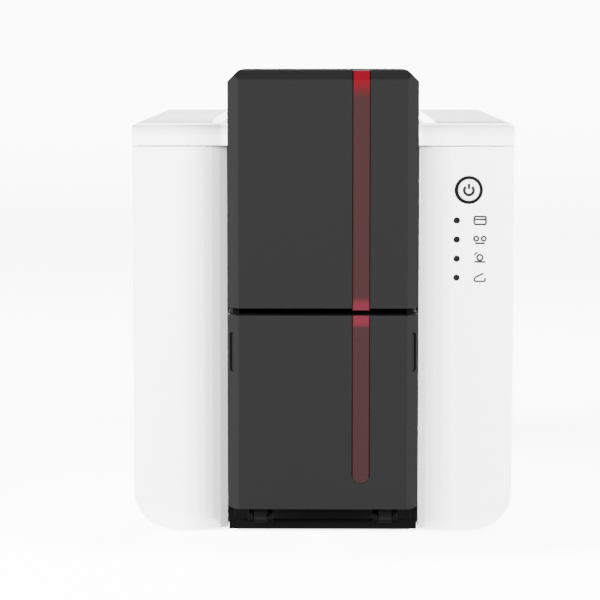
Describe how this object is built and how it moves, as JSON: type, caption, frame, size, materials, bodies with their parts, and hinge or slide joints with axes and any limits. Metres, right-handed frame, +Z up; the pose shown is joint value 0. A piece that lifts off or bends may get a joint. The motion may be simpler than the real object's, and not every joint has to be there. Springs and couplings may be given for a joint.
{
  "type": "id card printer",
  "caption": "Desktop card printer with a hinged top cover, a stacked hinged card feeder and output bin at the front, and a rear reject tray.",
  "frame": {"origin": "bottom centre of the whole box, on the table under the rubber feet", "axes": "+X to the right seen from the front, +Y to the back, +Z up"},
  "size_m": [0.203, 0.38, 0.249],
  "materials": {
    "white_shell": "fine satin",
    "black_shell": "fine grain",
    "black_inner": "matt",
    "grey_plastic": "matt",
    "red_window": "clear red",
    "button": "satin",
    "ring": "gloss",
    "light": "smoked",
    "steel": "brushed",
    "black_pin": "blackened",
    "sheet_steel": "zinc",
    "alloy": "plain",
    "motor": "satin",
    "rubber": "matt",
    "cleaning": "tacky",
    "acetal": "plain",
    "spool": "plain",
    "film": "film",
    "board": "lacquered",
    "ceramic": "glazed",
    "metal_socket": "plated",
    "socket": "plain"
  },
  "bodies": {
    "chassis": {"base_tray": "black_shell", "side_shell_left": "white_shell", "side_shell_right": "white_shell", "rear_panel": "grey_plastic", "inner_deck": "grey_plastic", "rubber_feet": "rubber", "frame_plate_left": "sheet_steel", "frame_plate_right": "sheet_steel", "card_guide": "black_inner", "feeder_housing": "black_inner", "hopper_housing": "black_shell", "roller_bushes": "acetal", "main_board": "board", "usb_socket": "metal_socket", "network_socket": "socket", "power_socket": "socket", "main_motor": "motor", "ribbon_motor": "motor", "motor_brackets": "sheet_steel", "fan_frame": "black_inner", "button_ring": "ring", "status_lights": "light", "panel_board": "board", "cover_hinge_pins": "steel", "feeder_hinge_pins": "steel", "door_hinge_pins": "black_pin", "chassis_screws": "steel", "rear_screws": "steel", "ribbon_film": "film"},
    "cover": {"top_cover": "white_shell", "cover_frame": "sheet_steel", "print_head": "ceramic", "head_heatsink": "alloy"},
    "hood": {"feeder_cover": "black_shell", "feeder_window": "red_window"},
    "door": {"hopper_door": "black_shell", "hopper_window": "red_window"},
    "button": {"power_button": "button"},
    "gauge": {"thickness_gauge": "grey_plastic"},
    "weight": {"card_weight": "steel"},
    "feed": {"feed_axle": "acetal", "feed_roller": "rubber"},
    "platen": {"platen_axle": "acetal", "platen_roller": "rubber"},
    "transport_1": {"transport_roller_1": "rubber"},
    "transport_2": {"transport_roller_2": "rubber"},
    "transport_3": {"transport_roller_3": "rubber"},
    "idler_gear_1": {"idler_1": "acetal"},
    "idler_gear_2": {"idler_2": "acetal"},
    "idler_gear_3": {"idler_3": "acetal"},
    "idler_gear_4": {"idler_4": "acetal"},
    "drive_pinion": {"motor_pinion": "steel"},
    "takeup_drive": {"takeup_pinion": "steel"},
    "takeup": {"takeup_spool": "spool"},
    "supply": {"supply_spool": "spool"},
    "cleaner": {"cleaning_roller": "cleaning"},
    "pinch": {"pinch_roller": "rubber"},
    "fan": {"fan_rotor": "black_inner"},
    "tray": {"reject_tray": "black_inner"},
    "flap": {"diverter_flap": "grey_plastic"}
  },
  "joints": [
    {"name": "cover_hinge", "type": "hinge", "parent": "chassis", "child": "cover", "pos_m": [0, 0.1841, 0.2141], "axis": [-1, 0, 0], "range_deg": [0, 75]},
    {"name": "hood_hinge", "type": "hinge", "parent": "chassis", "child": "hood", "pos_m": [0, -0.1045, 0.238], "axis": [-1, 0, 0], "range_deg": [0, 75]},
    {"name": "door_hinge", "type": "hinge", "parent": "chassis", "child": "door", "pos_m": [0, -0.18, 0.026], "axis": [1, 0, 0], "range_deg": [0, 90]},
    {"name": "button_press", "type": "slide", "parent": "chassis", "child": "button", "axis": [0, 1, 0], "range_m": [0, 0.0012], "stiffness_N_per_m": 400, "springref_m": -0.001},
    {"name": "gauge_slide", "type": "slide", "parent": "chassis", "child": "gauge", "axis": [0, 0, -1], "range_m": [0, 0.0012]},
    {"name": "weight_slide", "type": "slide", "parent": "chassis", "child": "weight", "axis": [0, 0, 1], "range_m": [0, 0.08]},
    {"name": "platen_spin", "type": "hinge", "parent": "chassis", "child": "platen", "pos_m": [0, -0.004, 0.1352], "axis": [1, 0, 0], "continuous": true},
    {"name": "feed_spin", "type": "hinge", "parent": "chassis", "child": "feed", "pos_m": [0, -0.112, 0.1352], "axis": [1, 0, 0], "continuous": true},
    {"name": "transport_1_spin", "type": "hinge", "parent": "chassis", "child": "transport_1", "pos_m": [0, -0.076, 0.1352], "axis": [1, 0, 0], "continuous": true},
    {"name": "transport_2_spin", "type": "hinge", "parent": "chassis", "child": "transport_2", "pos_m": [0, -0.04, 0.1352], "axis": [1, 0, 0], "continuous": true},
    {"name": "transport_3_spin", "type": "hinge", "parent": "chassis", "child": "transport_3", "pos_m": [0, 0.032, 0.1352], "axis": [1, 0, 0], "continuous": true},
    {"name": "idler_1_spin", "type": "hinge", "parent": "chassis", "child": "idler_gear_1", "pos_m": [0, -0.094, 0.1352], "axis": [1, 0, 0], "continuous": true},
    {"name": "idler_2_spin", "type": "hinge", "parent": "chassis", "child": "idler_gear_2", "pos_m": [0, -0.058, 0.1352], "axis": [1, 0, 0], "continuous": true},
    {"name": "idler_3_spin", "type": "hinge", "parent": "chassis", "child": "idler_gear_3", "pos_m": [0, -0.022, 0.1352], "axis": [1, 0, 0], "continuous": true},
    {"name": "idler_4_spin", "type": "hinge", "parent": "chassis", "child": "idler_gear_4", "pos_m": [0, 0.014, 0.1352], "axis": [1, 0, 0], "continuous": true},
    {"name": "motor_spin", "type": "hinge", "parent": "chassis", "child": "drive_pinion", "pos_m": [0, -0.022, 0.1202], "axis": [1, 0, 0], "continuous": true},
    {"name": "takeup_spin", "type": "hinge", "parent": "chassis", "child": "takeup", "pos_m": [0, -0.056, 0.176], "axis": [1, 0, 0], "continuous": true},
    {"name": "takeup_drive_spin", "type": "hinge", "parent": "chassis", "child": "takeup_drive", "pos_m": [0, -0.056, 0.159], "axis": [1, 0, 0], "continuous": true},
    {"name": "supply_spin", "type": "hinge", "parent": "chassis", "child": "supply", "pos_m": [0, 0.052, 0.176], "axis": [1, 0, 0], "continuous": true},
    {"name": "cleaner_spin", "type": "hinge", "parent": "chassis", "child": "cleaner", "pos_m": [0, -0.076, 0.1463], "axis": [1, 0, 0], "continuous": true},
    {"name": "pinch_spin", "type": "hinge", "parent": "chassis", "child": "pinch", "pos_m": [0, -0.04, 0.1463], "axis": [1, 0, 0], "continuous": true},
    {"name": "fan_spin", "type": "hinge", "parent": "chassis", "child": "fan", "pos_m": [-0.066, 0.18, 0.15], "axis": [0, 1, 0], "continuous": true},
    {"name": "tray_slide", "type": "slide", "parent": "chassis", "child": "tray", "axis": [0, 1, 0], "range_m": [0, 0.065]},
    {"name": "flap_turn", "type": "hinge", "parent": "chassis", "child": "flap", "pos_m": [0, -0.066, 0.1366], "axis": [1, 0, 0], "range_deg": [0, 12]}
  ],
  "couplings": [
    {"joint": "feed_spin", "follows": "platen_spin", "ratio": 1},
    {"joint": "transport_1_spin", "follows": "platen_spin", "ratio": 1},
    {"joint": "transport_2_spin", "follows": "platen_spin", "ratio": 1},
    {"joint": "transport_3_spin", "follows": "platen_spin", "ratio": 1},
    {"joint": "idler_1_spin", "follows": "platen_spin", "ratio": -0.8},
    {"joint": "idler_2_spin", "follows": "platen_spin", "ratio": -0.8},
    {"joint": "idler_3_spin", "follows": "platen_spin", "ratio": -0.8},
    {"joint": "idler_4_spin", "follows": "platen_spin", "ratio": -0.8},
    {"joint": "motor_spin", "follows": "platen_spin", "ratio": 1.6},
    {"joint": "takeup_drive_spin", "follows": "takeup_spin", "ratio": -2.4}
  ]
}
